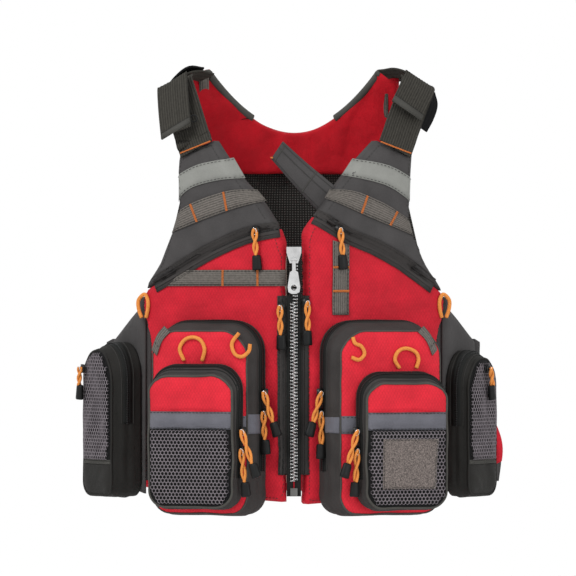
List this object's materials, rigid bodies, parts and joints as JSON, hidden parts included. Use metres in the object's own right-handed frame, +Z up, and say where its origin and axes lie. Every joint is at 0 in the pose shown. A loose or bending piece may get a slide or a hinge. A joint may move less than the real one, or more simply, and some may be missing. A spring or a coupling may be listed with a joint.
{
  "type": "fishing life jacket",
  "caption": "Foam-filled fishing life jacket with a front zip, box pockets, side pockets, webbing shoulders and a mesh back.",
  "frame": {"origin": "On the wearer's long axis, level with the lowest pocket bottoms", "axes": "+Z up, the wearer faces -Y, the wearer's left is +X"},
  "size_m": [0.5789, 0.3303, 0.6063],
  "materials": {
    "red_fabric": "ripstop polyester",
    "yoke_fabric": "plain woven polyester",
    "dark_fabric": "coated woven polyester",
    "webbing": "ribbed polyester webbing",
    "reflective_tape": "glass-bead reflective tape",
    "orange_cord": "braided cord",
    "black_mesh": "open mesh",
    "pocket_mesh": "spacer mesh",
    "zip_tape": "woven tape",
    "hook_and_loop": "loop pile",
    "foam": "closed-cell foam",
    "black_moulding": "moulded",
    "bright_steel": "polished"
  },
  "bodies": {
    "back": {"yoke_cover": "yoke_fabric", "yoke_foam": "foam", "back_mesh": "black_mesh", "lower_back_cover": "red_fabric", "lower_back_foam": "foam", "side_panel_right": "dark_fabric", "side_panel_left": "dark_fabric", "side_pocket_right": "dark_fabric", "side_pocket_left": "dark_fabric", "shoulder_webbing_upper_right": "webbing", "shoulder_webbing_upper_left": "webbing"},
    "front_right": {"upper_front_cover_right": "dark_fabric", "lower_front_cover_right": "red_fabric", "front_foam_right": "foam", "reflective_band_right": "reflective_tape", "shoulder_daisy_webbing_right": "webbing", "chest_webbing_right": "webbing", "shoulder_webbing_lower_right": "webbing", "main_pocket_right": "red_fabric", "small_pocket_right": "red_fabric", "pocket_cord_arch_right": "orange_cord", "pocket_cord_hook_right": "orange_cord", "armhole_cord_right": "orange_cord", "zip_tape_right": "zip_tape"},
    "front_left": {"upper_front_cover_left": "dark_fabric", "lower_front_cover_left": "red_fabric", "front_foam_left": "foam", "reflective_band_left": "reflective_tape", "shoulder_daisy_webbing_left": "webbing", "chest_webbing_left": "webbing", "shoulder_webbing_lower_left": "webbing", "main_pocket_left": "red_fabric", "small_pocket_left": "red_fabric", "pocket_cord_arch_left": "orange_cord", "pocket_cord_hook_left": "orange_cord", "armhole_cord_left": "orange_cord", "zip_tape_left": "zip_tape", "hook_and_loop_patch": "hook_and_loop", "zip_bottom_box": "bright_steel"},
    "zip_slider": {"main_zip_slider": "bright_steel"},
    "zip_tab": {"main_zip_pull_tab": "bright_steel"},
    "strap_end_right": {"shoulder_strap_end_right": "webbing", "shoulder_strap_ring": "black_moulding"},
    "strap_end_left": {"shoulder_strap_end_left": "webbing"},
    "neck_strap": {"neck_strap": "dark_fabric"},
    "main_pocket_upper_pull_right": {"main_pocket_upper_pull_right": "orange_cord"},
    "main_pocket_lower_pull_right": {"main_pocket_lower_pull_right": "orange_cord"},
    "small_pocket_upper_pull_right": {"small_pocket_upper_pull_right": "orange_cord"},
    "small_pocket_lower_pull_right": {"small_pocket_lower_pull_right": "orange_cord"},
    "welt_zip_pull_right": {"welt_zip_pull_right": "orange_cord"},
    "chest_zip_pull_right": {"chest_zip_pull_right": "orange_cord"},
    "side_pocket_pull_right": {"side_pocket_pull_right": "orange_cord"},
    "main_pocket_upper_pull_left": {"main_pocket_upper_pull_left": "orange_cord"},
    "main_pocket_lower_pull_left": {"main_pocket_lower_pull_left": "orange_cord"},
    "small_pocket_upper_pull_left": {"small_pocket_upper_pull_left": "orange_cord"},
    "small_pocket_lower_pull_left": {"small_pocket_lower_pull_left": "orange_cord"},
    "welt_zip_pull_left": {"welt_zip_pull_left": "orange_cord"},
    "chest_zip_pull_left": {"chest_zip_pull_left": "orange_cord"},
    "side_pocket_pull_left": {"side_pocket_pull_left": "orange_cord"}
  },
  "joints": [
    {"name": "front_right_swing", "type": "hinge", "parent": "back", "child": "front_right", "pos_m": [-0.201, -0.04, 0.15], "axis": [0, 0, -1], "range_deg": [0, 45]},
    {"name": "front_left_swing", "type": "hinge", "parent": "back", "child": "front_left", "pos_m": [0.201, -0.04, 0.15], "axis": [0, 0, 1], "range_deg": [0, 45]},
    {"name": "main_zip_slide", "type": "slide", "parent": "front_left", "child": "zip_slider", "axis": [0, 0, -1], "range_m": [0, 0.296]},
    {"name": "pull_tab_flip", "type": "hinge", "parent": "zip_slider", "child": "zip_tab", "pos_m": [0, -0.1335, 0.345], "axis": [-1, 0, 0], "range_deg": [0, 160]},
    {"name": "strap_end_right_peel", "type": "hinge", "parent": "back", "child": "strap_end_right", "pos_m": [-0.164, -0.017, 0.59], "axis": [-0.8384, 0.2097, -0.503], "range_deg": [0, 60]},
    {"name": "strap_end_left_peel", "type": "hinge", "parent": "back", "child": "strap_end_left", "pos_m": [0.171, -0.017, 0.592], "axis": [-0.8008, -0.2224, 0.5561], "range_deg": [0, 60]},
    {"name": "neck_strap_fold", "type": "hinge", "parent": "front_left", "child": "neck_strap", "pos_m": [0.039, -0.09, 0.432], "axis": [0.6499, -0.1444, 0.7462], "range_deg": [-20, 60]},
    {"name": "main_pocket_upper_zip_right", "type": "slide", "parent": "front_right", "child": "main_pocket_upper_pull_right", "axis": [0, 0, 1], "range_m": [0, 0.045]},
    {"name": "main_pocket_lower_zip_right", "type": "slide", "parent": "front_right", "child": "main_pocket_lower_pull_right", "axis": [0, 0, -1], "range_m": [0, 0.07]},
    {"name": "small_pocket_upper_zip_right", "type": "slide", "parent": "front_right", "child": "small_pocket_upper_pull_right", "axis": [0, 0, 1], "range_m": [0, 0.045]},
    {"name": "small_pocket_lower_zip_right", "type": "slide", "parent": "front_right", "child": "small_pocket_lower_pull_right", "axis": [0, 0, -1], "range_m": [0, 0.045]},
    {"name": "welt_zip_right", "type": "slide", "parent": "front_right", "child": "welt_zip_pull_right", "axis": [0, 0, -1], "range_m": [0, 0.2]},
    {"name": "chest_zip_right", "type": "hinge", "parent": "front_right", "child": "chest_zip_pull_right", "pos_m": [-0.04133, -0.14786, -0.01877], "axis": [-0.4067, -0.9135, 0], "range_deg": [0, 15.5]},
    {"name": "side_pocket_zip_right", "type": "slide", "parent": "back", "child": "side_pocket_pull_right", "axis": [0.454, -0.891, 0], "range_m": [0, 0.035]},
    {"name": "main_pocket_upper_zip_left", "type": "slide", "parent": "front_left", "child": "main_pocket_upper_pull_left", "axis": [0, 0, 1], "range_m": [0, 0.045]},
    {"name": "main_pocket_lower_zip_left", "type": "slide", "parent": "front_left", "child": "main_pocket_lower_pull_left", "axis": [0, 0, -1], "range_m": [0, 0.07]},
    {"name": "small_pocket_upper_zip_left", "type": "slide", "parent": "front_left", "child": "small_pocket_upper_pull_left", "axis": [0, 0, 1], "range_m": [0, 0.045]},
    {"name": "small_pocket_lower_zip_left", "type": "slide", "parent": "front_left", "child": "small_pocket_lower_pull_left", "axis": [0, 0, -1], "range_m": [0, 0.045]},
    {"name": "welt_zip_left", "type": "slide", "parent": "front_left", "child": "welt_zip_pull_left", "axis": [0, 0, -1], "range_m": [0, 0.2]},
    {"name": "chest_zip_left", "type": "hinge", "parent": "front_left", "child": "chest_zip_pull_left", "pos_m": [-0.29127, -0.25913, -0.43673], "axis": [0.4067, -0.9135, 0], "range_deg": [-7.5, 0]},
    {"name": "side_pocket_zip_left", "type": "slide", "parent": "back", "child": "side_pocket_pull_left", "axis": [-0.454, -0.891, 0], "range_m": [0, 0.035]}
  ]
}
